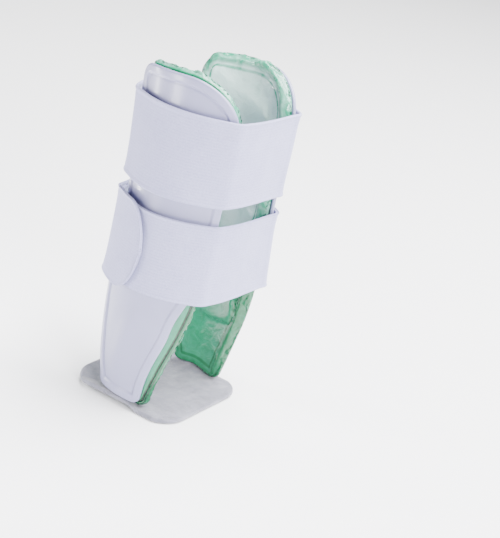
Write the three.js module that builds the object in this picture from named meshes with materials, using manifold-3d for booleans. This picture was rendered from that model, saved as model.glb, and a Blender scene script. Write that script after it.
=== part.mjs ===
// A stirrup ankle brace for a right foot: two moulded side shells, a film cushion inside each, two straps
// round both and a pad under the heel. Millimetres, +X towards the toes, +Y towards the inner ankle, +Z up.
// The origin is on the floor, under the middle of the heel.
import * as THREE from 'three';
import { mergeVertices } from 'three/addons/utils/BufferGeometryUtils.js';
import Module from 'manifold-3d';

const smoothstep = THREE.MathUtils.smoothstep;
const lerp = THREE.MathUtils.lerp;

// Driving sizes of the side shells
const SHELL_LIFT = 6.6; // floor to the lower edge of a shell
const SHELL_HEIGHT = 218; // lower edge to the crown of the upper edge
const SHELL_WALL = 2.6;
const HALF_DEPTH = 40; // middle of the brace to the front or back edge of a shell where it is deepest
const HALF_WIDTH = 47.5; // middle plane to the outer face of a shell beside the ankle bones
const SHELL_CURL = 0.341 * HALF_WIDTH; // how far the face turns in over half the depth
const SHELL_CENTRE = -2; // where the face stands furthest out, from the middle of the brace
const INNER_LEAD = 5.5; // the inner shell sits this far ahead, as the inner ankle bone does
const CROWN_CORNER = { across: 0.43, drop: 26 }; // large round corner at the upper front
const BACK_CORNER = { across: 0.1, drop: 8 };
const LOWER_CORNER = { across: 0.14, drop: 4 };
const CROWN_FALL = 3.4; // how much lower the upper edge is at the back than at its crown

// Driving sizes of the cushions
const LINER_THICKNESS = 9.5;
const LINER_BULGE = 2.6; // how far its two rounded lips stand out past the seam between them
const LINER_SEAM = 0.3; // how deep the seam lies, as a share of the thickness
const LINER_TOP = 2; // its upper edge above the edge of the shell
const LINER_BOTTOM = -0.4; // its lower edge below the edge of the shell
const LINER_DROOP = 3.2; // how much lower its front corner hangs
const LINER_BACK = 0.6; // its back edge past the edge of the shell

// Driving sizes of the straps
const STRAP_THICKNESS = 2;
const STRAP_BELLY = 1.6; // how far the straps stand out at the front, past the line between the shells
const STRAP_BACK = 42; // middle of the brace to the inside of the straps at the back
const UPPER_STRAP = { bottom: SHELL_LIFT + 0.6555 * SHELL_HEIGHT, width: 54 };
const LOWER_STRAP = { bottom: SHELL_LIFT + 0.3583 * SHELL_HEIGHT, width: 52 };
const TAB = { width: 58, reach: 70, round: 17 }; // wide rounded end, its reach from the back middle
const TAB_NECK = { start: 1.6, end: 3.2 }; // where the strap widens to it, from its tip, as shares of its round
const STATIONS = 30; // stations of a strap's path from the back middle to the front middle
const LAP = { start: 4, stepFrom: 9, stepTo: 2 }; // first station, and where the end steps out over the start

// Driving sizes of the heel pad
const PAD_THICKNESS = 3;
const PAD_BACK = 48; // middle of the heel to the back end
const PAD_FRONT = 34; // middle of the heel to the front end
const PAD_HALF_WIDTH = 43;
const PAD_CORNER = 18; // radius of its corners in plan
const PAD_FLAT = { back: -22, front: 0, side: 24 }; // edges of the part that lies flat on the floor
const PAD_BACK_RISE = 4.5; // how far its back end rises round the heel
const PAD_BLEND = 9; // length over which the raised sides run down to the flat front
const WING = { back: -22, front: 2, height: 20, thickness: 1.4 }; // what goes up inside each shell
const WING_CORNER = { across: 0.3, drop: 6 };
const RECESS = { near: 2, far: 8, low: 3, high: 14 }; // how far the hollow for a wing runs out round it

const FIT = 0.35; // clearance between pieces that touch
const PAD_SIDE_RISE = SHELL_LIFT - FIT - PAD_THICKNESS; // its sides rise until they carry the shells

// Each row is one level of the shell face: height as a share of SHELL_HEIGHT, how far out it stands as a
// share of HALF_WIDTH and how far it turns in as a share of SHELL_CURL
const FACE = [
  { height: 0, width: 0.93, curl: 1 },
  { height: 0.16, width: 0.965, curl: 1.1 },
  { height: 0.36, width: 1, curl: 1.28 },
  { height: 0.6, width: 0.94, curl: 1.34 },
  { height: 0.85, width: 0.87, curl: 0.98 },
  { height: 1, width: 0.85, curl: 0.86 },
];

// Each row is one level of the outline: the back and front edges of a shell, the front edge of the cushion
// and where a strap leaves the shell at the front, from the middle of the brace, as shares of HALF_DEPTH
const OUTLINE = [
  { height: 0, back: -0.7, front: 0.2, cushion: 0.29, strap: 0.83 },
  { height: 0.07, back: -0.82, front: 0.25, cushion: 0.39, strap: 0.83 },
  { height: 0.14, back: -0.89, front: 0.335, cushion: 0.49, strap: 0.83 },
  { height: 0.23, back: -0.935, front: 0.47, cushion: 0.625, strap: 0.83 },
  { height: 0.31, back: -0.945, front: 0.55, cushion: 0.72, strap: 0.83 },
  { height: 0.37, back: -0.94, front: 0.645, cushion: 0.775, strap: 0.83 },
  { height: 0.46, back: -0.92, front: 0.785, cushion: 0.82, strap: 0.83 },
  { height: 0.6, back: -0.9, front: 0.82, cushion: 0.81, strap: 0.845 },
  { height: 0.75, back: -0.91, front: 0.845, cushion: 0.835, strap: 0.875 },
  { height: 0.9, back: -0.95, front: 0.87, cushion: 0.87, strap: 0.905 },
  { height: 1, back: -0.95, front: 0.88, cushion: 0.88, strap: 0.915 },
];

// Each row is one ring of a cushion's rim: into is its depth as a share of the thickness and out how far it
// stands out as a share of LINER_BULGE
const LIPS = [
  { into: LINER_SEAM * 0.25, out: 0.75 },
  { into: LINER_SEAM * 0.6, out: 0.8 },
  { into: LINER_SEAM, out: 0.1 },
  { into: lerp(LINER_SEAM, 1, 0.12), out: 0.75 },
  { into: lerp(LINER_SEAM, 1, 0.35), out: 1 },
  { into: lerp(LINER_SEAM, 1, 0.65), out: 1 },
  { into: lerp(LINER_SEAM, 1, 0.9), out: 0.75 },
];

// Where both straps leave the shells at the back, as a share of HALF_DEPTH
const STRAP_HOLD_BACK = -0.93;

// Each row is one turning point of a strap's plan off the shell: along is its share of the way from the end
// of the strap's round to the held stretch, and out its share of how far out that stretch ends
const STRAP_BACK_TURN = [
  { along: 0, out: 0 },
  { along: 0.12, out: 0.38 },
  { along: 0.48, out: 0.76 },
];
const STRAP_FRONT_TURN = [
  { along: 0.35, out: 0.83 },
  { along: 0.75, out: 0.5 },
];

// A smooth value of one column of a table at a height share
function level(table, column, share) {
  const h = THREE.MathUtils.clamp(share, 0, 1);
  let k = 0;
  while (k < table.length - 2 && h > table[k + 1].height) k += 1;
  const row = (i) => table[THREE.MathUtils.clamp(i, 0, table.length - 1)];
  const slope = (i) => {
    const span = row(i + 1).height - row(i - 1).height;
    return span > 0 ? (row(i + 1)[column] - row(i - 1)[column]) / span : 0;
  };
  const span = row(k + 1).height - row(k).height;
  const t = (h - row(k).height) / span;
  const blend = t * t * (3 - 2 * t);
  const bend = span * (slope(k) * t * (1 - t) ** 2 - slope(k + 1) * t * t * (1 - t));
  return lerp(row(k)[column], row(k + 1)[column], blend) + bend;
}

// The outer face of the outer shell: a point for a place along the foot and a height, moved in by a depth
function facePoint(x, z, depth) {
  const share = (z - SHELL_LIFT) / SHELL_HEIGHT;
  const curl = level(FACE, 'curl', share) * SHELL_CURL;
  const reach = (x - SHELL_CENTRE) / HALF_DEPTH;
  const out = level(FACE, 'width', share) * HALF_WIDTH - curl * reach * reach;
  const slope = (2 * curl * reach) / HALF_DEPTH;
  const length = Math.hypot(1, slope);
  return new THREE.Vector3(x - (depth * slope) / length, depth / length - out, z);
}

// How far a round corner has dropped at a share of the way across it
function cornerDrop(corner, across) {
  const t = Math.max(0, (corner.across - across) / corner.across);
  return corner.drop * (1 - Math.sqrt(1 - t * t));
}

// A place on the outline of a shell or cushion: u goes from the back edge to the front, v from the bottom up
function outlinePlace(u, v, front, grow) {
  const droop = grow.droop * smoothstep(u, 0.35, 0.98);
  const corners = cornerDrop(LOWER_CORNER, u) + cornerDrop(LOWER_CORNER, 1 - u);
  const low = SHELL_LIFT - grow.bottom + corners - droop;
  const fall = CROWN_FALL * Math.max(0, 1 - u / (1 - CROWN_CORNER.across)) ** 1.5;
  const top = SHELL_LIFT + SHELL_HEIGHT + grow.top - fall;
  const high = top - cornerDrop(CROWN_CORNER, 1 - u) - cornerDrop(BACK_CORNER, u);
  const back = level(OUTLINE, 'back', v) * HALF_DEPTH - grow.back;
  return { x: lerp(back, level(OUTLINE, front, v) * HALF_DEPTH, u), z: lerp(low, high, v) };
}

// A closed plate: the near face and the far face are grids of rows by columns, and the rings of the rim go
// from the edge of one to the edge of the other. point(u, v, depth) gives a place, and each row of rim holds
// how far out and how deep one ring lies.
function plate({ us, vs, thickness, rim, point }) {
  const positions = [];
  const index = [];
  const columns = us.length;
  const rows = vs.length;
  const push = (p) => positions.push(p.x, p.y, p.z);
  for (const depth of [0, thickness]) for (const v of vs) for (const u of us) push(point(u, v, depth));
  const cell = (i, j) => j * columns + i;
  const far = columns * rows;
  for (let j = 0; j < rows - 1; j += 1) {
    for (let i = 0; i < columns - 1; i += 1) {
      const [a, b, c, d] = [cell(i, j), cell(i + 1, j), cell(i + 1, j + 1), cell(i, j + 1)];
      index.push(a, b, c, a, c, d);
      index.push(far + a, far + c, far + b, far + a, far + d, far + c);
    }
  }
  const edge = [];
  for (let i = 0; i < columns - 1; i += 1) edge.push([i, 0]);
  for (let j = 0; j < rows - 1; j += 1) edge.push([columns - 1, j]);
  for (let i = columns - 1; i > 0; i -= 1) edge.push([i, rows - 1]);
  for (let j = rows - 1; j > 0; j -= 1) edge.push([0, j]);
  const rings = [edge.map(([i, j]) => cell(i, j))];
  const place = ([i, j], depth) => point(us[i], vs[j], depth);
  for (const { out, depth } of rim) {
    const start = positions.length / 3;
    edge.forEach((here, k) => {
      const before = place(edge[(k + edge.length - 1) % edge.length], depth);
      const after = place(edge[(k + 1) % edge.length], depth);
      const through = place(here, thickness).sub(place(here, 0));
      const outward = after.sub(before).cross(through).normalize();
      push(place(here, depth).addScaledVector(outward, -out));
    });
    rings.push(edge.map((_, k) => start + k));
  }
  rings.push(edge.map(([i, j]) => far + cell(i, j)));
  for (let r = 0; r < rings.length - 1; r += 1) {
    for (let k = 0; k < edge.length; k += 1) {
      const next = (k + 1) % edge.length;
      const [a, b] = [rings[r][k], rings[r][next]];
      const [c, d] = [rings[r + 1][next], rings[r + 1][k]];
      index.push(a, d, c, a, c, b);
    }
  }
  return closedGeometry(positions, index);
}

// A geometry from its points and triangles, turned so that its faces point out
function closedGeometry(positions, index) {
  const at = (i) => new THREE.Vector3().fromArray(positions, i * 3);
  let volume = 0;
  for (let t = 0; t < index.length; t += 3) {
    volume += at(index[t]).dot(at(index[t + 1]).cross(at(index[t + 2])));
  }
  if (volume < 0) index.reverse();
  const geometry = new THREE.BufferGeometry();
  geometry.setAttribute('position', new THREE.Float32BufferAttribute(positions, 3));
  geometry.setIndex(index);
  geometry.computeVertexNormals();
  return geometry;
}

// Even steps from 0 to 1, drawn closer to the ends by the share given
function steps(count, ends) {
  return Array.from({ length: count + 1 }, (_, k) => {
    const t = k / count;
    return lerp(t, 0.5 - 0.5 * Math.cos(Math.PI * t), ends);
  });
}

// The outer shell: the face between its outline, with a rounded edge
function shellGeometry() {
  const round = SHELL_WALL * 0.4;
  return plate({
    us: steps(14, 0.6),
    vs: steps(22, 0.5),
    thickness: SHELL_WALL,
    rim: [{ out: round, depth: round * 0.6 }, { out: round, depth: SHELL_WALL - round * 0.6 }],
    point: (u, v, depth) => {
      const { x, z } = outlinePlace(u, v, 'front', { top: -round, bottom: -round, back: -round, droop: 0 });
      return facePoint(x, z, depth);
    },
  });
}

// How much deeper the back of a cushion lies behind the wing of the heel pad
function wingRecess(x, z) {
  const top = SHELL_LIFT + WING.height;
  const behind = smoothstep(x, WING.back - RECESS.far, WING.back - RECESS.near);
  const ahead = 1 - smoothstep(x, WING.front + RECESS.near, WING.front + RECESS.far);
  const above = 1 - smoothstep(z, top + RECESS.low, top + RECESS.high);
  return (WING.thickness + FIT) * behind * ahead * above;
}

// The outer cushion: it follows the inside of its shell and has two rounded lips with a seam between them
function linerGeometry() {
  const inset = (reach) => reach - LINER_BULGE;
  const grow = {
    top: inset(LINER_TOP),
    bottom: inset(LINER_BOTTOM),
    back: inset(LINER_BACK),
    droop: LINER_DROOP,
  };
  return plate({
    us: steps(12, 0.5),
    vs: steps(20, 0.5),
    thickness: LINER_THICKNESS,
    rim: LIPS.map(({ into, out }) => ({ depth: LINER_THICKNESS * into, out: LINER_BULGE * out })),
    point: (u, v, depth) => {
      const { x, z } = outlinePlace(u, v, 'cushion', grow);
      const back = SHELL_WALL + FIT + wingRecess(x, z);
      const front = SHELL_WALL + FIT + LINER_THICKNESS;
      return facePoint(x, z, lerp(back, front, depth / LINER_THICKNESS));
    },
  });
}

// The same piece for the inner side of the foot
function forInnerSide(geometry) {
  const positions = Array.from(geometry.attributes.position.array);
  for (let k = 0; k < positions.length; k += 3) {
    positions[k] += INNER_LEAD;
    positions[k + 1] *= -1;
  }
  return closedGeometry(positions, Array.from(geometry.index.array));
}

// The plan of a strap at one height, moved out by an offset: a curve from the back middle round one side to
// the front middle. The inner side is mirrored and sits INNER_LEAD ahead.
function strapSide(z, inner, offset) {
  const holdFront = level(OUTLINE, 'strap', (z - SHELL_LIFT) / SHELL_HEIGHT);
  const place = (t) => lerp(STRAP_HOLD_BACK, holdFront, t) * HALF_DEPTH;
  const held = steps(8, 0.2).map((t) => facePoint(place(t), z, -offset));
  const lead = inner ? INNER_LEAD : 0;
  const mirror = inner ? -1 : 1;
  const onSide = held.map((p) => new THREE.Vector3(p.x + lead, p.y * mirror, z));
  const [first, last] = [onSide[0], onSide[onSide.length - 1]];
  const backEnd = -STRAP_BACK - offset;
  const frontMiddle = holdFront * HALF_DEPTH + INNER_LEAD / 2 + STRAP_BELLY + offset;
  const atBack = STRAP_BACK_TURN.map(({ along, out }) => (
    new THREE.Vector3(lerp(backEnd, first.x, along), first.y * out, z)));
  const atFront = STRAP_FRONT_TURN.map(({ along, out }) => (
    new THREE.Vector3(lerp(last.x, frontMiddle, along), last.y * out, z)));
  const turning = [...atBack, ...onSide, ...atFront, new THREE.Vector3(frontMiddle, 0, z)];
  return new THREE.CatmullRomCurve3(turning, false, 'centripetal');
}

// A place on the plan of a strap. Stations count from the back middle by one side, the front and the other
// side to the back middle again.
function strapPlace(z, offset, station, innerFirst) {
  const turn = (station % (2 * STATIONS)) / STATIONS;
  const there = turn <= 1;
  return strapSide(z, there === innerFirst, offset).getPoint(there ? turn : 2 - turn);
}

// A strap: an open band whose wide rounded end lies over its start
function strapGeometry({ bottom, width }, endsInside) {
  const perRound = 2 * STATIONS;
  const middle = bottom + width / 2;
  const line = (station) => strapPlace(middle, FIT, station, endsInside);
  const along = [0];
  for (let k = 1; k <= perRound; k += 1) along.push(along[k - 1] + line(k).distanceTo(line(k - 1)));
  const travel = (station) => {
    const whole = Math.floor(station % perRound);
    const part = lerp(along[whole], along[whole + 1], (station % perRound) - whole);
    return part + (station >= perRound ? along[perRound] : 0);
  };
  const reached = along.findIndex((length) => length > TAB.reach);
  const last = perRound + reached - (along[reached] - TAB.reach) / (along[reached] - along[reached - 1]);
  const halfWidth = (station) => {
    const left = travel(last) - travel(station);
    const neck = smoothstep(left, TAB.round * TAB_NECK.start, TAB.round * TAB_NECK.end);
    const wide = lerp(TAB.width, width, neck) / 2;
    const t = THREE.MathUtils.clamp(1 - left / TAB.round, 0, 0.99);
    return wide * Math.sqrt(1 - t * t);
  };
  return plate({
    us: steps(Math.round(last - LAP.start), 0).map((t) => lerp(LAP.start, last, t)),
    vs: [-1, -0.75, 0, 0.75, 1],
    thickness: STRAP_THICKNESS,
    rim: [],
    point: (station, v, depth) => {
      const z = middle + halfWidth(station) * v;
      const step = smoothstep(station, perRound - LAP.stepFrom, perRound - LAP.stepTo);
      return strapPlace(z, FIT + step * (STRAP_THICKNESS + FIT) + depth, station, endsInside);
    },
  });
}

// How high the underside of the heel pad is above the floor
function padRise(x, y) {
  const side = Math.max(0, (Math.abs(y) - PAD_FLAT.side) / (PAD_HALF_WIDTH - PAD_FLAT.side));
  const back = Math.max(0, (PAD_FLAT.back - x) / (PAD_BACK + PAD_FLAT.back));
  const underShell = 1 - smoothstep(x, PAD_FLAT.front, PAD_FLAT.front + PAD_BLEND);
  return Math.max(PAD_SIDE_RISE * side * side * underShell, PAD_BACK_RISE * back * back);
}

// The heel pad: a plate with round corners, cupped at the sides and the back, with a wing at each side that
// goes up between the shell and its cushion
async function heelPadGeometry() {
  const plan = plate({
    us: steps(14, 0.6),
    vs: steps(16, 0.5),
    thickness: PAD_THICKNESS,
    rim: [],
    point: (u, v, depth) => {
      const y = lerp(-PAD_HALF_WIDTH, PAD_HALF_WIDTH, v);
      const into = Math.max(0, Math.abs(y) - (PAD_HALF_WIDTH - PAD_CORNER));
      const cut = PAD_CORNER - Math.sqrt(Math.max(0, PAD_CORNER ** 2 - into ** 2));
      const x = lerp(cut - PAD_BACK, PAD_FRONT - cut, u);
      return new THREE.Vector3(x, y, padRise(x, y) + PAD_THICKNESS - depth);
    },
  });
  const wing = plate({
    us: steps(8, 0),
    vs: steps(6, 0),
    thickness: WING.thickness,
    rim: [],
    point: (u, v, depth) => {
      const z = lerp(PAD_THICKNESS, SHELL_LIFT + WING.height, v);
      const round = cornerDrop(WING_CORNER, u) + cornerDrop(WING_CORNER, 1 - u);
      return facePoint(lerp(WING.back, WING.front, u), z - round * v, SHELL_WALL + FIT + depth);
    },
  });
  return joined([plan, wing, forInnerSide(wing)]);
}

// Several closed shapes joined to one
async function joined(geometries) {
  const wasm = await Module();
  wasm.setup();
  let whole = null;
  for (const geometry of geometries) {
    const bare = geometry.clone();
    bare.deleteAttribute('normal');
    const merged = mergeVertices(bare, 1e-4);
    const mesh = new wasm.Mesh({
      numProp: 3,
      vertProperties: new Float32Array(merged.attributes.position.array),
      triVerts: new Uint32Array(merged.index.array),
    });
    const solid = new wasm.Manifold(mesh);
    whole = whole === null ? solid : whole.add(solid);
  }
  const { vertProperties, triVerts } = whole.getMesh();
  return closedGeometry(Array.from(vertProperties), Array.from(triVerts));
}

// A mesh with its name, colour and finish
function piece(name, geometry, color, roughness) {
  const material = new THREE.MeshStandardMaterial({ color, roughness, metalness: 0 });
  const mesh = new THREE.Mesh(geometry, material);
  mesh.name = name;
  return mesh;
}

const brace = new THREE.Group();
const [shell, liner] = [shellGeometry(), linerGeometry()];
brace.add(piece('shell_outer', shell, 0xe6e6ee, 0.25));
brace.add(piece('shell_inner', forInnerSide(shell), 0xe6e6ee, 0.25));
brace.add(piece('liner_outer', liner, 0x4fae86, 0.2));
brace.add(piece('liner_inner', forInnerSide(liner), 0x4fae86, 0.2));
brace.add(piece('strap_upper', strapGeometry(UPPER_STRAP, true), 0xdcdce8, 0.85));
brace.add(piece('strap_lower', strapGeometry(LOWER_STRAP, false), 0xdcdce8, 0.85));
brace.add(piece('heel_pad', await heelPadGeometry(), 0xa9a9b3, 0.9));

export default brace;
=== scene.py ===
"""A stirrup ankle brace for a right foot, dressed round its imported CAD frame.

Two moulded side shells, a film cushion inside each, two loop cloth straps round both and a felt pad under
the heel. Shapes are worked out in millimetres and put into the meshes in metres. +X points to the toes,
+Y to the inner ankle and +Z up, and the origin is on the floor under the middle of the heel.
"""

import logging
import math
from collections.abc import Callable, Sequence
from dataclasses import dataclass, field
from enum import Enum

import bpy
import numpy as np
from mathutils import Matrix, Vector

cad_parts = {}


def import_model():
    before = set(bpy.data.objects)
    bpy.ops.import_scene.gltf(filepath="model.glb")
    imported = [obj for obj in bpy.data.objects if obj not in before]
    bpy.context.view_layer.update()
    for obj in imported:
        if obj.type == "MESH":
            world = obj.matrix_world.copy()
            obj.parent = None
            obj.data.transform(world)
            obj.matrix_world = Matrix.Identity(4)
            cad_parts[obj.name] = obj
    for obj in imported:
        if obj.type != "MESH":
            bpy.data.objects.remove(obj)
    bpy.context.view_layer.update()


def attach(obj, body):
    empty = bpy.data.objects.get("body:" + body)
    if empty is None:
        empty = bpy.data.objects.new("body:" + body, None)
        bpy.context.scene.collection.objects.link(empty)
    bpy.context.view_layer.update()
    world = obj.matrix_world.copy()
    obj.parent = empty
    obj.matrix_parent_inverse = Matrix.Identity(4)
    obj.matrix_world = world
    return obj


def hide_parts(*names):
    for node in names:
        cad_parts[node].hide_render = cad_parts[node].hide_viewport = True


log = logging.getLogger("ankle_brace")

MM = 0.001
FIT = 0.35  # clearance between pieces that touch, in millimetres
UPPER_STRAP = 0.6555  # height of the strap's lower edge, as a share of the shell's height
LOWER_STRAP = 0.3583

Array = np.ndarray
Object, Material = bpy.types.Object, bpy.types.Material
Tree, Socket = bpy.types.NodeTree, bpy.types.NodeSocket
Place = Callable[[Array, Array, Array], Array]


class Side(Enum):
    """The side of the foot that a shell and its cushion stand on."""

    OUTER = "outer"
    INNER = "inner"


def smoothstep(value: Array, low: float, high: float | Array) -> Array:
    """Return 3t^2 - 2t^3, where t is the clamped share of the way from low to high."""
    t = np.clip((value - low) / (high - low), 0.0, 1.0)
    return t * t * (3.0 - 2.0 * t)


def bump(value: Array, middle: float | Array, width: float) -> Array:
    """Return the bell exp(-((value - middle) / width)^2)."""
    return np.exp(-(((value - middle) / width) ** 2))


def eased_steps(count: int, ends: float) -> Array:
    """Return count + 1 values from 0 to 1, mixed towards 0.5 - 0.5 cos(pi t) by the share ends."""
    t = np.linspace(0.0, 1.0, count + 1)
    return t + ends * (0.5 - 0.5 * np.cos(np.pi * t) - t)


def ripple(x: Array, y: Array, seed: int, waves: int, length: float) -> Array:
    """Return an even, wandering ripple of about unit height.

    It is a sum of plane waves sin(k . p + phase), with directions, phases and lengths drawn from a seed.

    Args:
        x: first coordinate of each point, in millimetres.
        y: second coordinate of each point, in millimetres.
        seed: seed of the draw.
        waves: number of plane waves.
        length: middle wave length in millimetres.
    """
    draw = np.random.default_rng(seed)
    turn = draw.uniform(0.0, 2.0 * np.pi, waves)
    phase = draw.uniform(0.0, 2.0 * np.pi, waves)
    reach = 2.0 * np.pi / (length * draw.uniform(0.6, 1.7, waves))
    along = x[..., None] * np.cos(turn) + y[..., None] * np.sin(turn)
    return np.sin(along * reach + phase).sum(-1) / math.sqrt(waves)


@dataclass(frozen=True)
class LevelTable:
    """Columns of values over rising heights, read as one smooth curve each.

    Between two rows it is the cubic whose slopes at the rows come from the rows on either side.
    """

    heights: tuple[float, ...]
    columns: dict[str, tuple[float, ...]]

    def at(self, column: str, share: Array) -> Array:
        """Return a column's value at each height share.

        Args:
            column: name of the column.
            share: heights from 0 to 1.
        """
        h = np.array(self.heights)
        y = np.array(self.columns[column])
        slope = np.empty_like(y)
        slope[1:-1] = (y[2:] - y[:-2]) / (h[2:] - h[:-2])
        slope[[0, -1]] = (y[1] - y[0]) / (h[1] - h[0]), (y[-1] - y[-2]) / (h[-1] - h[-2])
        s = np.clip(share, 0.0, 1.0)
        k = np.clip(np.searchsorted(h, s) - 1, 0, len(h) - 2)
        span = h[k + 1] - h[k]
        t = (s - h[k]) / span
        bend = span * (slope[k] * t * (1.0 - t) ** 2 - slope[k + 1] * t * t * (1.0 - t))
        return y[k] + (y[k + 1] - y[k]) * t * t * (3.0 - 2.0 * t) + bend


@dataclass(frozen=True)
class RoundCorner:
    """A quarter ellipse at a corner of an outline: its share of the width and its drop in millimetres."""

    across: float
    drop: float

    def fall(self, across: Array) -> Array:
        """Return how far the edge has dropped, drop (1 - sqrt(1 - t^2)), at a share of the way across."""
        t = np.clip((self.across - across) / self.across, 0.0, 1.0)
        return self.drop * (1.0 - np.sqrt(1.0 - t * t))


@dataclass(frozen=True)
class Growth:
    """How far a piece stands past the shell's outline at each edge, in millimetres."""

    top: float = 0.0
    bottom: float = 0.0
    back: float = 0.0
    droop: float = 0.0


@dataclass(frozen=True)
class SideForm:
    """The curved side of the brace that shells, cushions, wings and straps all follow, in millimetres."""

    lift: float = 6.6
    height: float = 218.0
    half_depth: float = 40.0
    half_width: float = 47.5
    curl: float = 0.341 * 47.5  # how far the face falls back over the half depth
    centre: float = -2.0
    inner_lead: float = 5.5
    crown_fall: float = 3.4
    crown: RoundCorner = RoundCorner(0.43, 26.0)
    back_corner: RoundCorner = RoundCorner(0.1, 8.0)
    low_corner: RoundCorner = RoundCorner(0.14, 4.0)
    face_table: LevelTable = field(default_factory=lambda: LevelTable(
        (0.0, 0.16, 0.36, 0.6, 0.85, 1.0),
        {
            "width": (0.93, 0.965, 1.0, 0.94, 0.87, 0.85),
            "curl": (1.0, 1.1, 1.28, 1.34, 0.98, 0.86),
        },
    ))
    outline_table: LevelTable = field(default_factory=lambda: LevelTable(
        (0.0, 0.07, 0.14, 0.23, 0.31, 0.37, 0.46, 0.6, 0.75, 0.9, 1.0),
        {
            "back": (-0.7, -0.82, -0.89, -0.935, -0.945, -0.94, -0.92, -0.9, -0.91, -0.95, -0.95),
            "strap": (0.83, 0.83, 0.83, 0.83, 0.83, 0.83, 0.83, 0.845, 0.875, 0.905, 0.915),
            "front": (0.2, 0.25, 0.335, 0.47, 0.55, 0.645, 0.785, 0.82, 0.845, 0.87, 0.88),
            "cushion": (0.29, 0.39, 0.49, 0.625, 0.72, 0.775, 0.82, 0.81, 0.835, 0.87, 0.88),
        },
    ))

    def face(self, x: Array, z: Array, depth: Array) -> Array:
        """Return points on the outer side's face, moved in along its plan normal.

        The face is y = -(w(z) - c(z) ((x - centre) / half_depth)^2), with w and c from the table.

        Args:
            x: places along the foot.
            z: heights above the floor.
            depth: how far in each point lies behind the face.

        Returns:
            The points, with x, y and z in the last axis.
        """
        share = (z - self.lift) / self.height
        curl = self.face_table.at("curl", share) * self.curl
        reach = (x - self.centre) / self.half_depth
        out = self.face_table.at("width", share) * self.half_width - curl * reach * reach
        slope = 2.0 * curl * reach / self.half_depth
        length = np.hypot(1.0, slope)
        return np.stack([x - depth * slope / length, depth / length - out, z + 0.0 * x], -1)

    def outline(self, u: Array, v: Array, front: str, grow: Growth) -> tuple[Array, Array]:
        """Return the place and height inside an outline, u from back to front and v from the bottom up.

        Args:
            u: shares of the way from the back edge to the front edge.
            v: shares of the way from the lower edge to the upper edge.
            front: the column of the table that holds the front edge.
            grow: how far the outline stands past that of the shell.
        """
        droop = grow.droop * smoothstep(u, 0.35, 0.98)
        low = self.lift - grow.bottom - droop + self.low_corner.fall(u) + self.low_corner.fall(1.0 - u)
        share = np.clip(1.0 - u / (1.0 - self.crown.across), 0.0, 1.0)
        top = self.lift + self.height + grow.top - self.crown_fall * share ** 1.5
        high = top - self.crown.fall(1.0 - u) - self.back_corner.fall(u)
        back = self.outline_table.at("back", v) * self.half_depth - grow.back
        ahead = self.outline_table.at(front, v) * self.half_depth
        return back + (ahead - back) * u, low + (high - low) * v

    def edge_distance(self, x: Array, z: Array, front: str, grow: Growth) -> Array:
        """Return how far each point of the face lies from the outline, over the face, in millimetres."""
        run = eased_steps(160, 0.9)
        rise = eased_steps(300, 0.4)
        u = np.concatenate([run, np.ones_like(rise), run[::-1], np.zeros_like(rise)])
        v = np.concatenate([np.zeros_like(run), rise, np.ones_like(run), rise[::-1]])
        edge = self.face(*self.outline(u, v, front, grow), np.zeros_like(u))
        here = self.face(x, z, np.zeros_like(x)).reshape(-1, 3)
        square = (here ** 2).sum(1)[:, None] + (edge ** 2).sum(1)[None] - 2.0 * here @ edge.T
        return np.sqrt(np.maximum(square.min(1), 0.0)).reshape(x.shape)

    def on_side(self, skin: "Skin", side: Side) -> "Skin":
        """Return a surface for a side: on the inner one it is mirrored in y and stands further ahead."""
        points = skin.points
        if side is Side.INNER:
            points = points * np.array([1.0, -1.0, 1.0]) + np.array([self.inner_lead, 0.0, 0.0])
        return Skin(points, facing_out(points, skin.quads), skin.uv, skin.far)


@dataclass
class Skin:
    """A closed surface: its points in millimetres, its quads and a pair of values at each point.

    far counts the points of a plate's near face, which come first, and of its far face, which come next.
    """

    points: Array
    quads: Array
    uv: Array
    far: int = 0

    def joined(self, other: "Skin") -> "Skin":
        """Return both surfaces as one."""
        count = len(self.points)
        return Skin(
            np.concatenate([self.points, other.points]),
            np.concatenate([self.quads, other.quads + count]),
            np.concatenate([self.uv, other.uv]),
        )


def grid_quads(rows: int, columns: int, start: int = 0) -> Array:
    """Return the quads of a grid whose points are numbered row by row from start."""
    corner = (np.arange(rows - 1)[:, None] * columns + np.arange(columns - 1)).ravel() + start
    return np.stack([corner, corner + 1, corner + columns + 1, corner + columns], 1)


def facing_out(points: Array, quads: Array) -> Array:
    """Return the quads turned to face out, by the sign of the volume that they close."""
    a, b, c, d = (points[quads[:, k]] for k in range(4))
    volume = (a * np.cross(b, c) + a * np.cross(c, d)).sum()
    return quads if volume > 0.0 else quads[:, ::-1]


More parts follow.
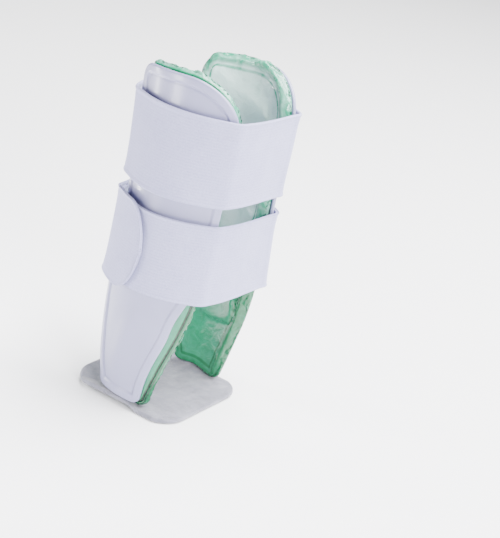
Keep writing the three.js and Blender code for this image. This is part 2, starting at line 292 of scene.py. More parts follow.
def plate(place: Place, us: Array, vs: Array, thickness: float, rim: Sequence[tuple]) -> Skin:
    """Return a closed plate between a near and a far face with a shaped rim.

    Both faces are grids of place(u, v, depth). Each ring of the rim holds the edge at its depth, moved out
    along the cross product of the edge's run and the way through the plate.

    Args:
        place: gives points for arrays of u, v and depth.
        us: values of u, one for each column.
        vs: values of v, one for each row.
        thickness: depth of the far face in millimetres.
        rim: for each ring, how far out and how deep it lies, in millimetres.
    """
    rows, columns = len(vs), len(us)
    u, v = np.meshgrid(us, vs)
    faces = [place(u, v, np.full(u.shape, depth)) for depth in (0.0, thickness)]
    run, rise = np.arange(columns - 1), np.arange(rows - 1)
    i = np.concatenate([run, np.full(rows - 1, columns - 1), run[::-1] + 1, np.zeros(rows - 1, int)])
    j = np.concatenate([np.zeros(columns - 1, int), rise, np.full(columns - 1, rows - 1), rise[::-1] + 1])
    edge_u, edge_v = us[i], vs[j]
    through = faces[1][j, i] - faces[0][j, i]
    points = [faces[0].reshape(-1, 3), faces[1].reshape(-1, 3)]
    far = rows * columns
    rings = [j * columns + i]
    for out, depth in rim:
        edge = place(edge_u, edge_v, np.full(edge_u.shape, depth))
        outward = np.cross(np.roll(edge, -1, 0) - np.roll(edge, 1, 0), through)
        outward /= np.maximum(np.linalg.norm(outward, axis=1, keepdims=True), 1e-9)
        rings.append(sum(len(p) for p in points) + np.arange(len(edge)))
        points.append(edge - outward * out)
    rings.append(far + j * columns + i)
    quads = [grid_quads(rows, columns), grid_quads(rows, columns, far)[:, ::-1]]
    for near, deep in zip(rings[:-1], rings[1:]):
        quads.append(np.stack([near, deep, np.roll(deep, -1), np.roll(near, -1)], 1))
    everywhere = np.concatenate(points)
    flat = np.stack([u, v], -1).reshape(-1, 2)
    uv = np.concatenate([flat, flat, np.tile(np.stack([edge_u, edge_v], 1), (len(rim), 1))])
    return Skin(everywhere, facing_out(everywhere, np.concatenate(quads)), uv, far)


def round_rim(thickness: float, out: float, rings: int = 5) -> list[tuple]:
    """Return a rim that bulges as half an ellipse, out sin(t), over the thickness of a plate."""
    t = np.linspace(0.0, np.pi, rings + 2)[1:-1]
    return [(out * math.sin(a), thickness * (0.5 - 0.5 * math.cos(a))) for a in t]


def new_object(name: str, data: bpy.types.ID) -> Object:
    """Return a new object in the scene that shows this data."""
    made = bpy.data.objects.new(name, data)
    bpy.context.scene.collection.objects.link(made)
    return made


def mesh_object(name: str, skin: Skin) -> Object:
    """Return an object with a smooth mesh of the skin, in metres.

    The pair of values at each point, times 0.001, is its UV map: for a strap, metres along and up.

    Args:
        name: name of the object and its mesh.
        skin: the surface in millimetres.
    """
    mesh = bpy.data.meshes.new(name)
    mesh.from_pydata((skin.points * MM).tolist(), [], skin.quads.tolist())
    layer = mesh.uv_layers.new(name="cloth")
    layer.uv.foreach_set("vector", (skin.uv[skin.quads.ravel()] * MM).astype(np.float32).ravel())
    mesh.shade_smooth()
    mesh.update()
    return new_object(name, mesh)


def add_values(piece: Object, name: str, values: Array) -> None:
    """Store one number at each point of a piece under a name that its material reads."""
    layer = piece.data.attributes.new(name, "FLOAT", "POINT")
    layer.data.foreach_set("value", values.astype(np.float32))


def linear(code: str) -> tuple[float, float, float, float]:
    """Return an sRGB hex colour as linear red, green, blue and alpha."""
    parts = (int(code[k:k + 2], 16) / 255.0 for k in (1, 3, 5))
    r, g, b = (c / 12.92 if c <= 0.04045 else ((c + 0.055) / 1.055) ** 2.4 for c in parts)
    return (r, g, b, 1.0)


def add_node(tree: Tree, kind: str, inputs: dict | None = None, **settings) -> bpy.types.Node:
    """Add a node with its settings and inputs.

    Args:
        tree: the node tree.
        kind: type name of the node.
        inputs: for each socket, by name or number, a value or the output socket that feeds it.
        **settings: properties of the node.
    """
    node = tree.nodes.new(kind)
    for name, value in settings.items():
        setattr(node, name, value)
    for key, value in (inputs or {}).items():
        if isinstance(value, Socket):
            tree.links.new(value, node.inputs[key])
        else:
            node.inputs[key].default_value = value
    return node


def new_material(name: str) -> tuple[Material, Tree]:
    """Return an empty node material and its tree."""
    material = bpy.data.materials.new(name)
    material.use_nodes = True
    material.node_tree.nodes.clear()
    return material, material.node_tree


def add_noise(
    tree: Tree, place: Socket, length_mm: float, detail: float, roughness: float = 0.5, distortion: float = 0.0
) -> Socket:
    """Add a noise texture whose coarsest features have this length, and return its factor."""
    return add_node(tree, "ShaderNodeTexNoise", {
        "Vector": place,
        "Scale": 1000.0 / length_mm,
        "Detail": detail,
        "Roughness": roughness,
        "Distortion": distortion,
    }).outputs["Fac"]


def add_math(tree: Tree, operation: str, *terms: float | Socket) -> Socket:
    """Add a math node on its terms, each a value or a socket, and return the result."""
    return add_node(tree, "ShaderNodeMath", dict(enumerate(terms)), operation=operation).outputs[0]


def add_tint(tree: Tree, share: Socket, first: str, second: str) -> Socket:
    """Mix two sRGB hex colours by a share and return the colour."""
    return add_node(tree, "ShaderNodeMix", {
        "Factor": share, "A": linear(first), "B": linear(second),
    }, data_type="RGBA").outputs["Result"]


def add_relief(tree: Tree, height: Socket, strength: float, distance: float, **inputs: Socket) -> Socket:
    """Add a bump of a height and return the normal."""
    values = {"Height": height, "Strength": strength, "Distance": distance}
    return add_node(tree, "ShaderNodeBump", values | inputs).outputs["Normal"]


def add_surface(tree: Tree, inputs: dict) -> None:
    """Add a principled shader with these inputs and lead it to the material's output."""
    shader = add_node(tree, "ShaderNodeBsdfPrincipled", inputs)
    add_node(tree, "ShaderNodeOutputMaterial", {"Surface": shader.outputs["BSDF"]})


@dataclass(frozen=True)
class MouldedPolypropylene:
    """White polypropylene from a fine-sparked mould: a soft gloss with broad highlights.

    Its colours are a lilac grey, so that it keeps some tone in the strong light.
    """

    colour: str = "#9494B4"
    shade: str = "#8787A8"
    roughness: float = 0.3
    ior: float = 1.49
    grain_mm: float = 1.1  # drawn coarser than the 0.1 mm of the mould, so that it shows
    flow_mm: float = 34.0  # slow waviness from the melt cooling

    def build(self) -> Material:
        """Return the material: two close tones in slow clouds, a fine grain and a faint waviness."""
        material, tree = new_material("moulded_polypropylene")
        place = add_node(tree, "ShaderNodeTexCoord").outputs["Object"]
        cloud = add_noise(tree, place, self.flow_mm, 2.0)
        grain = add_noise(tree, place, self.grain_mm, 3.0)
        gloss = add_node(tree, "ShaderNodeMapRange", {
            "Value": grain, "To Min": self.roughness - 0.05, "To Max": self.roughness + 0.07,
        })
        fine = add_relief(tree, grain, 0.12, 0.00012)
        add_surface(tree, {
            "Base Color": add_tint(tree, cloud, self.colour, self.shade),
            "Roughness": gloss.outputs["Result"],
            "IOR": self.ior,
            "Subsurface Weight": 0.12,
            "Subsurface Radius": (0.004, 0.004, 0.005),
            "Subsurface Scale": 1.0,
            "Coat Weight": 0.25,
            "Coat Roughness": 0.12,
            "Normal": add_relief(tree, cloud, 0.25, 0.0012, Normal=fine),
        })
        return material


@dataclass(frozen=True)
class ClearGreenFilm:
    """Soft clear green vinyl film, blown over a pale filling: wet highlights, deep green in lips and folds.

    Each stop is a depth of the film and its colour there, from frosted to nearly black.
    """

    stops: tuple[tuple[float, str], ...] = (
        (0.08, "#BAD2CE"), (0.32, "#27886A"), (0.62, "#04603A"), (0.95, "#022515"),
    )
    uneven: float = 0.3
    roughness: float = 0.16
    ior: float = 1.53
    pucker_mm: float = 7.0

    def build(self) -> Material:
        """Return the material: the film's depth at each point, made uneven by puckers, gives its colour; that
        depth also holds painted shade along the weld and the seam.
        """
        material, tree = new_material("clear_green_film")
        place = add_node(tree, "ShaderNodeTexCoord").outputs["Object"]
        # The attribute holds how deep the film looks, with painted shade darkening the weld line and the seam
        # beside it.
        depth = add_node(tree, "ShaderNodeAttribute", attribute_name="film_depth_and_shade").outputs["Fac"]
        puckers = add_noise(tree, place, self.pucker_mm, 4.0, 0.55, 0.6)
        uneven = add_math(tree, "MULTIPLY_ADD", puckers, self.uneven, -0.5 * self.uneven)
        ramp = add_node(tree, "ShaderNodeValToRGB", {"Fac": add_math(tree, "ADD", depth, uneven)})
        elements = ramp.color_ramp.elements
        for element, (position, colour) in zip(elements, (self.stops[0], self.stops[-1])):
            element.position = position
            element.color = linear(colour)
        for position, colour in self.stops[1:-1]:
            elements.new(position).color = linear(colour)
        relief = add_relief(tree, puckers, 0.5, 0.0016)
        add_surface(tree, {
            "Base Color": ramp.outputs["Color"],
            "Roughness": self.roughness,
            "IOR": self.ior,
            "Subsurface Weight": 0.2,
            "Subsurface Radius": (0.003, 0.006, 0.0045),
            "Subsurface Scale": 1.0,
            "Coat Weight": 0.2,
            "Coat Roughness": 0.06,
            "Normal": relief,
        })
        return material


@dataclass(frozen=True)
class BrushedLoopCloth:
    """White knitted loop tape, brushed on its face: matt and soft with fine ribs along its length.

    Its colours are a lilac grey, so that it keeps some tone in the strong light.
    """

    colour: str = "#AAAACC"
    shade: str = "#9191B6"
    rib_mm: float = 1.9  # drawn coarser than the 0.9 mm of the knit, so that it shows
    loop_mm: float = 0.9
    mottle_mm: float = 14.0

    def build(self) -> Material:
        """Return the material: ribs from the UV map, loops and a slow mottle from object places."""
        material, tree = new_material("brushed_loop_cloth")
        coordinates = add_node(tree, "ShaderNodeTexCoord")
        place = coordinates.outputs["Object"]
        across = add_node(tree, "ShaderNodeSeparateXYZ", {0: coordinates.outputs["UV"]}).outputs["Y"]
        loops = add_noise(tree, place, self.loop_mm, 4.0)
        mottle = add_noise(tree, place, self.mottle_mm, 3.0)
        phase = add_math(tree, "MULTIPLY_ADD", across, 2000.0 * math.pi / self.rib_mm, mottle)
        rib = add_math(tree, "SINE", phase)
        pile = add_math(tree, "MULTIPLY_ADD", rib, 0.07, loops)
        mix = add_math(tree, "MULTIPLY_ADD", mottle, 0.4, pile)
        share = add_node(tree, "ShaderNodeMapRange", {"Value": mix, "From Min": 0.35, "From Max": 1.05})
        relief = add_relief(tree, pile, 0.4, 0.00035)
        add_surface(tree, {
            "Base Color": add_tint(tree, share.outputs["Result"], self.shade, self.colour),
            "Roughness": 0.85,
            "Specular IOR Level": 0.2,
            "Sheen Weight": 0.35,
            "Sheen Roughness": 0.45,
            "Sheen Tint": linear("#F4F4FF"),
            "Normal": relief,
        })
        return material


@dataclass(frozen=True)
class GreyNeedleFelt:
    """Grey polyester needle felt over thin foam: dull, fibrous and slightly mottled."""

    colour: str = "#8C8C99"
    shade: str = "#62626F"
    fibre_mm: float = 1.3
    clump_mm: float = 6.0

    def build(self) -> Material:
        """Return the material: stretched fibres over clumps, in two greys."""
        material, tree = new_material("grey_needle_felt")
        place = add_node(tree, "ShaderNodeTexCoord").outputs["Object"]
        fibres = add_noise(tree, place, self.fibre_mm, 6.0, 0.7, 1.6)
        clumps = add_noise(tree, place, self.clump_mm, 3.0)
        both = add_math(tree, "MULTIPLY_ADD", fibres, 0.7, clumps)
        share = add_node(tree, "ShaderNodeMapRange", {"Value": both, "From Min": 0.55, "From Max": 1.15})
        relief = add_relief(tree, both, 0.8, 0.0007)
        add_surface(tree, {
            "Base Color": add_tint(tree, share.outputs["Result"], self.shade, self.colour),
            "Roughness": 0.95,
            "Specular IOR Level": 0.15,
            "Sheen Weight": 0.5,
            "Sheen Roughness": 0.5,
            "Normal": relief,
        })
        return material


def finish_piece(piece: Object, material: Material, slot: str, *nodes: str) -> None:
    """Give a piece its material and its body, and hide the CAD nodes that it stands for."""
    piece.data.materials.append(material)
    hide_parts(*nodes)
    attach(piece, "root")
    log.info("made %s with %d faces, for %s", piece.name, len(piece.data.polygons), ", ".join(nodes))


@dataclass
class SideShell:
    """A moulded side shell with a raised rim round a slightly sunk panel, in millimetres."""

    form: SideForm
    side: Side
    wall: float = 2.6
    rim_width: float = 4.4
    sink: float = 1.0
    step_start: float = -0.9  # from the rim's width
    step_end: float = 0.3
    groove: float = 0.35
    groove_middle: float = 0.5  # from the rim's width
    groove_width: float = 0.6
    ridge: float = 1.7
    ridge_foot: tuple[float, float] = (14.0, 42.0)  # heights between which it rises to its full height
    ridge_head: tuple[float, float] = (56.0, 78.0)  # heights between which it falls away
    ridge_middle: tuple[float, float] = (-9.0, 50.0)
    ridge_lean: float = 0.25
    ridge_width: float = 7.0

    def relief(self, distance: Array) -> Array:
        """Return how deep the outer face lies at a distance from the edge.

        It is a smooth step down to the panel behind the rim, and a narrow groove along the foot of the step.
        """
        step = smoothstep(distance, self.rim_width + self.step_start, self.rim_width + self.step_end)
        groove = bump(distance, self.rim_width + self.groove_middle, self.groove_width)
        return self.sink * step + self.groove * groove

    def ridge_height(self, x: Array, z: Array) -> Array:
        """Return how far a soft, slanting ridge stands out low on the face, over the ankle bone."""
        along = smoothstep(z, *self.ridge_foot) * (1.0 - smoothstep(z, *self.ridge_head))
        middle_x, middle_z = self.ridge_middle
        return self.ridge * along * bump(x, self.ridge_lean * (z - middle_z) + middle_x, self.ridge_width)

    def build(self, material: Material) -> Object:
        """Make the shell and return it."""
        round_edge = self.wall * 0.5
        grow = Growth(-round_edge, -round_edge, -round_edge)

        def place(u: Array, v: Array, depth: Array) -> Array:
            """A point of the shell, shaped on its outer face and less and less through the wall."""
            x, z = self.form.outline(u, v, "front", grow)
            share = 1.0 - depth / self.wall
            sunk = np.zeros_like(x)
            if x.ndim == 2:
                sunk = self.relief(self.form.edge_distance(x, z, "front", grow)) - self.ridge_height(x, z)
            return self.form.face(x, z, depth + sunk * share)

        rim = round_rim(self.wall, round_edge, 7)
        skin = plate(place, eased_steps(96, 0.75), eased_steps(190, 0.55), self.wall, rim)
        piece = mesh_object(f"{self.side.value}_shell", self.form.on_side(skin, self.side))
        finish_piece(piece, material, "shell", f"shell_{self.side.value}")
        return piece


@dataclass(frozen=True)
class Tone:
    """How deep the film looks high up on the brace, and how much deeper low down."""

    high: float
    gain: float

    def at(self, low: Array) -> Array:
        """Return the depth for shares from 0, high up, to 1, low down."""
        return self.high + self.gain * low


@dataclass
class FilmCushion:
    """A film bladder inside a shell, with one round lip, a welded seam along the shell and wrinkled film.

    Lengths are in millimetres. A pair holds the places between which something fades in or out.
    """

    form: SideForm
    side: Side
    shell_wall: float = 2.6
    thickness: float = 9.5
    bulge: float = 2.6
    bulge_power: float = 0.55
    top: float = 2.0
    bottom: float = -0.4
    droop: float = 3.2
    back: float = 0.6
    wing_thickness: float = 1.4
    wing_height: float = 20.0
    wing_back: tuple[float, float] = (-30.0, -24.0)
    wing_front: tuple[float, float] = (4.0, 10.0)
    wing_top: tuple[float, float] = (3.0, 14.0)
    weld_margin: float = 1.2
    weld_depth: float = 1.1
    weld_width: float = 0.6
    free_depth: tuple[float, float] = (2.3, 4.6)
    slack: float = 0.11
    swell: float = 1.5
    frames: int = 14
    most_move: float = 2.0
    low_heights: tuple[float, float] = (80.0, 125.0)
    shell_tone: Tone = Tone(0.3, 0.12)
    skin_tone: Tone = Tone(0.06, 0.42)
    lip_tone: Tone = Tone(0.28, 0.34)
    lip_reach: float = 5.0
    line_width: float = 0.7
    # The weld line and the seam beside it are darkened: partly deeper film, partly painted shade in the crease
    # between the film's layers.
    weld_and_shade_tone: float = 0.7
    seam_shade_depth: tuple[float, float] = (0.6, 1.6)
    seam_shade_share: float = 0.5
    fold_margin: float = 4.6
    fold_tone: float = 0.3

    def recess(self, x: Array, z: Array) -> Array:
        """Return how much deeper the back of the cushion lies where a wing of the heel pad is behind it."""
        top = self.form.lift + self.wing_height
        across = smoothstep(x, *self.wing_back) * (1.0 - smoothstep(x, *self.wing_front))
        start, end = self.wing_top
        return (self.wing_thickness + FIT) * across * (1.0 - smoothstep(z, top + start, top + end))

    def lip(self) -> list[tuple]:
        """Return the rim: one bulge sin(pi s)^power over the whole thickness."""
        shares = eased_steps(17, 0.6)[1:-1]
        return [(self.bulge * math.sin(math.pi * s) ** self.bulge_power, self.thickness * s) for s in shares]

    def growth(self) -> Growth:
        """Return how far the flat faces end past the shell's outline, which leaves room for the bulge."""
        return Growth(self.top - self.bulge, self.bottom - self.bulge, self.back - self.bulge, self.droop)

    def skin(self) -> Skin:
        """Return the cushion before its film is blown up."""
        grow = self.growth()

        def place(u: Array, v: Array, depth: Array) -> Array:
            """The shell's inner face, clear of the wing, carried through the cushion's thickness."""
            x, z = self.form.outline(u, v, "cushion", grow)
            near = self.shell_wall + FIT + self.recess(x, z)
            if x.ndim == 2:
                margin = self.form.edge_distance(x, z, "cushion", grow)
                near = near + self.weld_depth * bump(margin, self.weld_margin, self.weld_width)
            through = self.shell_wall + FIT + self.thickness
            return self.form.face(x, z, near + (through - near) * depth / self.thickness)

        return plate(place, eased_steps(54, 0.8), eased_steps(120, 0.6), self.thickness, self.lip())

    def blown(self, skin: Skin, held: Array) -> Array:
        """Return the points after Cloth has blown up the slack film and wrinkled it.

        Args:
            skin: the surface before.
            held: from 0, free, to 1, welded or lying on the shell.
        """
        work = mesh_object("film_work", skin)
        group = work.vertex_groups.new(name="held")
        for level in np.unique(held):
            group.add(np.flatnonzero(held == level).tolist(), float(level), "REPLACE")
        film = work.modifiers.new("film", "CLOTH")
        cloth = film.settings
        cloth.quality = 6
        cloth.mass = 0.1
        cloth.tension_stiffness = 30.0
        cloth.compression_stiffness = 20.0
        cloth.shear_stiffness = 10.0
        cloth.bending_stiffness = 0.02
        cloth.vertex_group_mass = "held"
        cloth.pin_stiffness = 5.0
        cloth.shrink_min = -self.slack
        cloth.use_pressure = True
        cloth.uniform_pressure_force = self.swell
        cloth.effector_weights.gravity = 0.0
        film.collision_settings.use_collision = False
        film.point_cache.frame_start = 1
        film.point_cache.frame_end = self.frames
        for frame in range(1, self.frames + 1):
            bpy.context.scene.frame_set(frame)
        shown = work.evaluated_get(bpy.context.evaluated_depsgraph_get())
        moved = np.empty(len(skin.points) * 3, np.float32)
        shown.data.vertices.foreach_get("co", moved)
        bpy.context.scene.frame_set(1)
        bpy.data.objects.remove(work)
        return moved.reshape(-1, 3).astype(float) / MM

    def film_depth_and_shade(self, skin: Skin, depth: Array, flat: Array) -> Array:
        """Return how deep the film looks at each point, from 0, frosted, to 1, nearly black.

        Faces and lips deepen downwards. The weld, the seam beside it and a fold near the edge are darker;
        along the weld and the seam this is partly deeper film and partly painted shade in the crease between
        the film's layers.

        Args:
            skin: the surface with its film blown up.
            depth: how far each point lies from the shell's inner face before that.
            flat: whether each point lies on the face towards the shell.
        """
        grow = self.growth()
        x, z = self.form.outline(skin.uv[:, 0], skin.uv[:, 1], "cushion", grow)
        margin = self.form.edge_distance(x, z, "cushion", grow)
        rim = np.arange(len(margin)) >= 2 * skin.far
        reach = np.where(flat, self.weld_margin, self.lip_reach)
        lip = np.where(rim, 1.0, 1.0 - smoothstep(margin, 0.0, reach))
        # Painted shade, with deeper film, along the seam inside the lip and along the weld line on the face
        # towards the shell.
        seam = rim * (1.0 - smoothstep(depth, *self.seam_shade_depth)) * self.seam_shade_share
        weld = np.where(flat, bump(margin, self.weld_margin, self.line_width), 0.0) + seam
        low = 1.0 - smoothstep(skin.points[:, 2], *self.low_heights)
        face = np.where(flat, self.shell_tone.at(low), self.skin_tone.at(low))
        fold = np.where(flat | rim, 0.0, bump(margin, self.fold_margin, self.line_width))
        shade = face + lip * (self.lip_tone.at(low) - face) + self.weld_and_shade_tone * weld + self.fold_tone * fold
        return np.clip(shade, 0.0, 1.0)

    def build(self, material: Material, simulate: bool) -> Object:
        """Make the cushion and return it.

        No point of the film moves further than most_move, so it stays clear of the other pieces.

        Args:
            material: the film.
            simulate: whether Cloth blows up the film.
        """
        skin = self.skin()
        through = self.form.face(skin.points[:, 0], skin.points[:, 2], np.zeros(len(skin.points)))
        depth = skin.points[:, 1] - through[:, 1] - self.shell_wall
        near = 1.0 - smoothstep(depth, *self.free_depth)
        flat = np.arange(len(skin.points)) < skin.far
        held = np.round(np.maximum(near, flat), 2)
        if simulate:
            move = self.blown(skin, held) - skin.points
            length = np.linalg.norm(move, axis=1, keepdims=True)
            skin.points = skin.points + move * np.minimum(1.0, self.most_move / np.maximum(length, 1e-6))
        piece = mesh_object(f"{self.side.value}_cushion", self.form.on_side(skin, self.side))
        # Stores how deep the film looks, painted shade along the weld and the seam included.
        add_values(piece, "film_depth_and_shade", self.film_depth_and_shade(skin, depth, flat))
        finish_piece(piece, material, "liner", f"liner_{self.side.value}")
        return piece


@dataclass
class WrapStrap:
    """A loop cloth strap round both shells whose wide rounded end lies over its start.

    Lengths are in millimetres. The turns of its plan off the shells are pairs: a share of the way from the
    back middle to the shell, or from the shell to the front middle, and a share of the shell's y there.
    """

    form: SideForm
    name: str
    node: str
    bottom: float
    width: float
    ends_inside: bool
    seed: int
    thickness: float = 2.0
    belly: float = 1.6
    back: float = 42.0
    hold_back: float = -0.93  # share of the half depth where the strap leaves the shells at the back
    back_turns: tuple[tuple[float, float], ...] = ((0.0, 0.0), (0.12, 0.38), (0.48, 0.76))
    front_turns: tuple[tuple[float, float], ...] = ((0.35, 0.83), (0.75, 0.5))
    tab_width: float = 58.0
    tab_round: float = 17.0
    tab_reach: float = 70.0
    tab_neck: tuple[float, float] = (1.6, 3.2)  # from the end, as multiples of tab_round
    stations: float = 30.0
    fine: int = 6
    start: float = 4.0
    step_before: tuple[float, float] = (9.0, 2.0)  # stations before the full round
    spacing: float = 0.8
    edge_lift: float = 0.9
    end_lift: float = 1.1
    wander: float = 0.3
    wander_length: float = 46.0
    press: float = 0.22
    press_margin: float = 2.0
    press_width: float = 0.7

    def plan_turns(self, z: Array, inner: bool) -> Array:
        """Return the turning points of the plan from the back middle to the front middle, for each height."""
        t = eased_steps(8, 0.2)
        hold = self.form.outline_table.at("strap", (z - self.form.lift) / self.form.height)
        x = (self.hold_back + (hold - self.hold_back) * t[:, None]) * self.form.half_depth
        on_side = self.form.face(x, np.broadcast_to(z, x.shape), np.full(x.shape, -FIT))[..., :2]
        lead = self.form.inner_lead if inner else 0.0
        on_side = on_side * np.array([1.0, -1.0 if inner else 1.0]) + np.array([lead, 0.0])
        first, last = on_side[0], on_side[-1]
        back_end = np.full(len(z), -self.back - FIT)
        middle = hold * self.form.half_depth + self.form.inner_lead / 2 + self.belly + FIT
        turns = [[back_end + (first[:, 0] - back_end) * a, first[:, 1] * o] for a, o in self.back_turns]
        turns += [[p[:, 0], p[:, 1]] for p in on_side]
        turns += [[last[:, 0] + (middle - last[:, 0]) * a, last[:, 1] * o] for a, o in self.front_turns]
        turns.append([middle, np.zeros(len(z))])
        return np.array(turns).transpose(0, 2, 1)

    def through(self, turns: Array, share: Array) -> Array:
        """Return the smooth curve through turning points, a centripetal Catmull-Rom curve.

        Args:
            turns: the points, with the height's number in the second axis.
            share: places on the curve from 0 to 1, even from point to point.
        """
        ends = np.concatenate([2 * turns[:1] - turns[1:2], turns, 2 * turns[-1:] - turns[-2:-1]])
        gap = np.sqrt(np.linalg.norm(np.diff(ends, axis=0), axis=-1, keepdims=True))
        spot = np.clip(share, 0.0, 1.0) * (len(turns) - 1)
        k = np.minimum(spot.astype(int), len(turns) - 2)
        t = (spot - k)[:, None, None]
        a, b, c, d = (ends[k + n] for n in range(4))
        before, here, after = (gap[k + n] for n in range(3))
        leave = ((b - a) / before - (c - a) / (before + here) + (c - b) / here) * here
        reach = ((c - b) / here - (d - b) / (here + after) + (d - c) / after) * here
        bend = 3 * (c - b) - 2 * leave - reach
        twist = 2 * (b - c) + leave + reach
        return b + leave * t + bend * t ** 2 + twist * t ** 3

    def round(self, z: Array, station: Array) -> Array:
        """Return plan points for stations counted from the back middle, two sides to a round."""
        first, second = self.ends_inside, not self.ends_inside
        turn = np.mod(station, 2 * self.stations) / self.stations
        one = self.through(self.plan_turns(z, first), turn)
        other = self.through(self.plan_turns(z, second), 2.0 - turn)
        return np.where((turn <= 1.0)[:, None, None], one, other)

    def half_widths(self, left: Array) -> Array:
        """Return half the width by the way left to the end: a tab with an elliptic end, then a neck."""
        neck_start, neck_end = self.tab_neck
        neck = smoothstep(left, self.tab_round * neck_start, self.tab_round * neck_end)
        t = np.clip(1.0 - left / self.tab_round, 0.0, 0.999)
        return (self.tab_width + (self.width - self.tab_width) * neck) / 2 * np.sqrt(1.0 - t * t)

    def build(self, material: Material) -> Object:
        """Make the strap and return it.

        Its middle line follows the plan, and the last stretch steps out by one thickness to lie over the
        start. The edges lift a little, each with a pressed line beside it, and the cloth wanders.
        """
        middle = self.bottom + self.width / 2
        every = np.arange(0.0, 3.0 * self.stations, 1.0 / self.fine)
        line = self.round(np.array([middle]), every)[:, 0]
        run = np.concatenate([[0.0], np.cumsum(np.linalg.norm(np.diff(line, axis=0), axis=1))])
        whole = np.interp(2.0 * self.stations, every, run)
        first, last = np.interp(self.start, every, run), whole + self.tab_reach
        travel = np.linspace(first, last, int((last - first) / self.spacing)) - first
        stations = np.interp(travel + first, run, every)
        left = travel[-1] - travel
        half = self.half_widths(left)
        step_start, step_end = (2 * self.stations - before for before in self.step_before)
        step = smoothstep(stations, step_start, step_end) * (self.thickness + FIT)
        heights = np.linspace(middle - self.tab_width / 2, middle + self.tab_width / 2, 25)
        plan = self.round(heights, stations)
        way = np.gradient(plan, axis=0)
        normal = np.stack([way[..., 1], -way[..., 0]], -1)
        normal /= np.linalg.norm(normal, axis=-1, keepdims=True)
        normal *= np.sign((normal * plan).sum(-1).mean())

        def place(u: Array, v: Array, depth: Array) -> Array:
            """A point of the strap: u is the travel along it and v its share of the half width."""
            z = middle + np.interp(u, travel, half) * v
            at = np.interp(u, travel, np.arange(len(travel)))
            to_end = np.interp(u, travel, left)
            level = (z - heights[0]) / (heights[1] - heights[0])
            point, out_way = (self.between(grid, at, level) for grid in (plan, normal))
            wander = self.wander * (0.5 + 0.5 * ripple(u, z, self.seed, 7, self.wander_length))
            lift = self.edge_lift * np.abs(v) ** 7 + wander
            lift = lift + self.end_lift * (1.0 - smoothstep(to_end, 0.0, self.tab_round)) ** 2
            margin = np.minimum((1.0 - np.abs(v)) * np.interp(u, travel, half), 0.8 * to_end)
            press = self.press * bump(margin, self.press_margin, self.press_width)
            out = np.interp(u, travel, step) + lift + depth + press * (1.0 - 2.0 * depth / self.thickness)
            return np.concatenate([point + out_way * out[..., None], z[..., None]], -1)

        tips = travel[-1] - self.tab_round * (1.0 - np.sin(np.linspace(0.0, np.pi / 2, 26)[:-1]))
        us = np.concatenate([travel[travel < tips[0] - 0.5], tips])
        vs = eased_steps(44, 0.8) * 2.0 - 1.0
        skin = plate(place, us, vs, self.thickness, round_rim(self.thickness, self.thickness * 0.45))
        skin.uv = np.stack([skin.uv[:, 0], skin.points[:, 2]], 1)
        piece = mesh_object(self.name, skin)
        finish_piece(piece, material, "strap", self.node)
        return piece

    @staticmethod
    def between(grid: Array, row: Array, column: Array) -> Array:
        """Return values of a grid at places between its rows and columns, mixed from the four nearest."""
        i = np.clip(row.astype(int), 0, grid.shape[0] - 2)
        j = np.clip(column.astype(int), 0, grid.shape[1] - 2)
        s, t = (row - i)[..., None], (column - j)[..., None]
        low = grid[i, j] * (1 - s) + grid[i + 1, j] * s
        high = grid[i, j + 1] * (1 - s) + grid[i + 1, j + 1] * s
        return low * (1 - t) + high * t


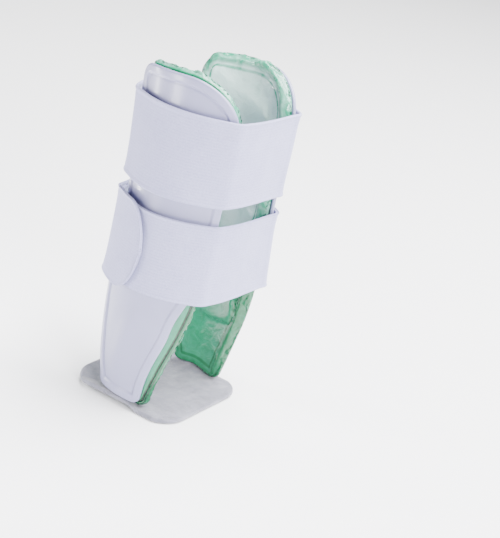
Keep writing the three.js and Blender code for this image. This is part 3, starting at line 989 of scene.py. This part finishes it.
@dataclass
class HeelPad:
    """A felt pad under the heel, cupped at its sides and back, with a wing up inside each shell.

    Lengths are in millimetres.
    """

    form: SideForm
    shell_wall: float = 2.6
    thickness: float = 3.0
    back: float = 48.0
    front: float = 34.0
    half_width: float = 43.0
    corner: float = 18.0
    flat_back: float = -22.0
    flat_front: float = 0.0
    flat_side: float = 24.0
    back_rise: float = 4.5
    blend: float = 9.0
    dent: float = 0.15
    dent_length: float = 15.0
    seed: int = 11
    wing_back: float = -22.0
    wing_front: float = 2.0
    wing_height: float = 20.0
    wing_thickness: float = 1.4
    wing_foot: float = 0.8  # share of the pad's thickness where the wing starts
    wing_corner: RoundCorner = RoundCorner(0.3, 6.0)

    def rise(self, x: Array, y: Array) -> Array:
        """Return the underside's height: a square law out from the flat part at the sides and the back."""
        side = np.clip((np.abs(y) - self.flat_side) / (self.half_width - self.flat_side), 0.0, None)
        back = np.clip((self.flat_back - x) / (self.back + self.flat_back), 0.0, None)
        under = 1.0 - smoothstep(x, self.flat_front, self.flat_front + self.blend)
        side_rise = self.form.lift - FIT - self.thickness
        return np.maximum(side_rise * side ** 2 * under, self.back_rise * back ** 2)

    def plan(self) -> Skin:
        """Return the pad: a plate in plan with round corners of x = corner - sqrt(corner^2 - into^2)."""
        edge = self.thickness * 0.4

        def place(u: Array, v: Array, depth: Array) -> Array:
            """A point of the pad, u from back to front and v from the outer side to the inner side."""
            y = (2.0 * v - 1.0) * (self.half_width - edge)
            into = np.clip(np.abs(y) - (self.half_width - self.corner), 0.0, None)
            cut = self.corner - np.sqrt(np.clip(self.corner ** 2 - into ** 2, 0.0, None))
            low, high = cut - self.back + edge, self.front - edge - cut
            x = low + (high - low) * u
            dents = self.dent * ripple(x, y, self.seed, 6, self.dent_length) * (1.0 - depth / self.thickness)
            return np.stack([x, y, self.rise(x, y) + self.thickness - depth + np.minimum(dents, 0.0)], -1)

        rim = round_rim(self.thickness, edge)
        return plate(place, eased_steps(60, 0.6), eased_steps(64, 0.6), self.thickness, rim)

    def wing(self, side: Side) -> Skin:
        """Return a wing: a thin plate between a shell and its cushion, with round upper corners."""
        foot = self.thickness * self.wing_foot

        def place(u: Array, v: Array, depth: Array) -> Array:
            """A point of the wing, u from back to front and v from the pad up."""
            z = foot + (self.form.lift + self.wing_height - foot) * v
            x = self.wing_back + (self.wing_front - self.wing_back) * u
            z = z - (self.wing_corner.fall(u) + self.wing_corner.fall(1.0 - u)) * v
            return self.form.face(x, z, self.shell_wall + FIT + depth)

        skin = plate(place, eased_steps(24, 0.6), eased_steps(20, 0.0), self.wing_thickness, [])
        return self.form.on_side(skin, side)

    def build(self, material: Material) -> Object:
        """Make the pad with both wings and return it."""
        skin = self.plan().joined(self.wing(Side.OUTER)).joined(self.wing(Side.INNER))
        piece = mesh_object("felt_heel_pad", skin)
        finish_piece(piece, material, "heel_pad", "heel_pad")
        return piece


@dataclass(frozen=True)
class Softbox:
    """A rectangular light: its place and size in metres, its power in watts and the point that it faces."""

    name: str
    place: tuple[float, float, float]
    size: tuple[float, float]
    power: float
    aim: tuple[float, float, float] = (0.0, 0.0, 0.11)

    def build(self) -> None:
        """Add the light, unseen by the camera."""
        data = bpy.data.lights.new(self.name, "AREA")
        data.shape = "RECTANGLE"
        data.size, data.size_y = self.size
        data.energy = self.power
        made = new_object(self.name, data)
        made.location = self.place
        made.rotation_euler = (Vector(self.aim) - Vector(self.place)).to_track_quat("-Z", "Y").to_euler()
        made.visible_camera = False


@dataclass
class Studio:
    """The camera at the photograph's angle, a pale floor and soft lights, in metres and degrees."""

    target: Vector = field(default_factory=lambda: Vector((0.046, 0.0, 0.1063)))
    azimuth: float = 30.17
    elevation: float = 22.04
    roll: float = 11.23
    distance: float = 1.0
    focal_px: float = 1596.0
    frame_px: int = 500
    sensor_mm: float = 36.0
    floor_radius: float = 6.0
    floor_drop: float = 0.0004
    floor_sides: int = 64
    softboxes: tuple[Softbox, ...] = (
        Softbox("overhead", (0.45, 0.35, 1.5), (1.5, 1.5), 185.0),
        Softbox("broad_right", (1.0, -0.56, 0.45), (0.4, 0.5), 26.0),
        Softbox("strip_back", (-0.376, -0.137, 0.16), (0.04, 0.2), 0.9),
        Softbox("strip_front", (-0.25, -0.36, 0.15), (0.1, 0.18), 1.5),
        Softbox("low_strip", (-0.2, -0.05, 0.075), (0.014, 0.07), 0.2, (0.0, -0.04, 0.1)),
    )

    def camera(self) -> Object:
        """Make the camera, rolled about its own axis, and return it."""
        a, e, r = (math.radians(x) for x in (self.azimuth, self.elevation, self.roll))
        back = Vector((math.sin(a) * math.cos(e), -math.cos(a) * math.cos(e), math.sin(e)))
        right = Vector((math.cos(a), math.sin(a), 0.0))
        up = back.cross(right)
        across = right * math.cos(r) + up * math.sin(r)
        above = up * math.cos(r) - right * math.sin(r)
        data = bpy.data.cameras.new("camera")
        data.sensor_fit = "HORIZONTAL"
        data.sensor_width = self.sensor_mm
        data.lens = self.sensor_mm * self.focal_px / self.frame_px
        made = new_object("camera", data)
        turned = Matrix((across, above, back)).transposed().to_4x4()
        made.matrix_world = Matrix.Translation(self.target + back * self.distance) @ turned
        bpy.context.scene.camera = made
        return made

    def floor(self) -> None:
        """Add the pale floor just under the brace, a disc with its edge at r cos(a), r sin(a)."""
        angle = np.linspace(0.0, 2.0 * np.pi, self.floor_sides + 1)[:-1]
        edge = np.stack([np.cos(angle), np.sin(angle), np.zeros_like(angle)], 1) * self.floor_radius
        mesh = bpy.data.meshes.new("floor")
        disc = (edge - np.array([0.0, 0.0, self.floor_drop])).tolist()
        mesh.from_pydata(disc, [], [list(range(self.floor_sides))])
        material, tree = new_material("pale_floor")
        add_surface(tree, {"Base Color": linear("#F6F6F8"), "Roughness": 0.75, "Specular IOR Level": 0.2})
        mesh.materials.append(material)
        new_object("floor", mesh)

    def surroundings(self) -> None:
        """Add the dim, nearly white surroundings."""
        world = bpy.data.worlds.new("studio")
        world.use_nodes = True
        tree = world.node_tree
        tree.nodes.clear()
        sky = add_node(tree, "ShaderNodeBackground", {"Color": linear("#F7F8FF"), "Strength": 0.1})
        add_node(tree, "ShaderNodeOutputWorld", {"Surface": sky.outputs["Background"]})
        bpy.context.scene.world = world

    def build(self) -> None:
        """Make the whole studio."""
        self.camera()
        self.floor()
        self.surroundings()
        for softbox in self.softboxes:
            softbox.build()


def main() -> None:
    """Load the frame, and make every piece and the studio."""
    logging.basicConfig(level=logging.INFO, format="%(name)s: %(message)s")
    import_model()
    form = SideForm()
    shell, film = MouldedPolypropylene().build(), ClearGreenFilm().build()
    cloth, felt = BrushedLoopCloth().build(), GreyNeedleFelt().build()
    for side in Side:
        SideShell(form, side).build(shell)
        FilmCushion(form, side).build(film, simulate=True)
    upper = form.lift + UPPER_STRAP * form.height
    WrapStrap(form, "upper_strap", "strap_upper", upper, width=54.0, ends_inside=True, seed=5).build(cloth)
    lower = form.lift + LOWER_STRAP * form.height
    WrapStrap(form, "lower_strap", "strap_lower", lower, width=52.0, ends_inside=False, seed=8).build(cloth)
    HeelPad(form).build(felt)
    Studio().build()


if __name__ == "__main__":
    main()
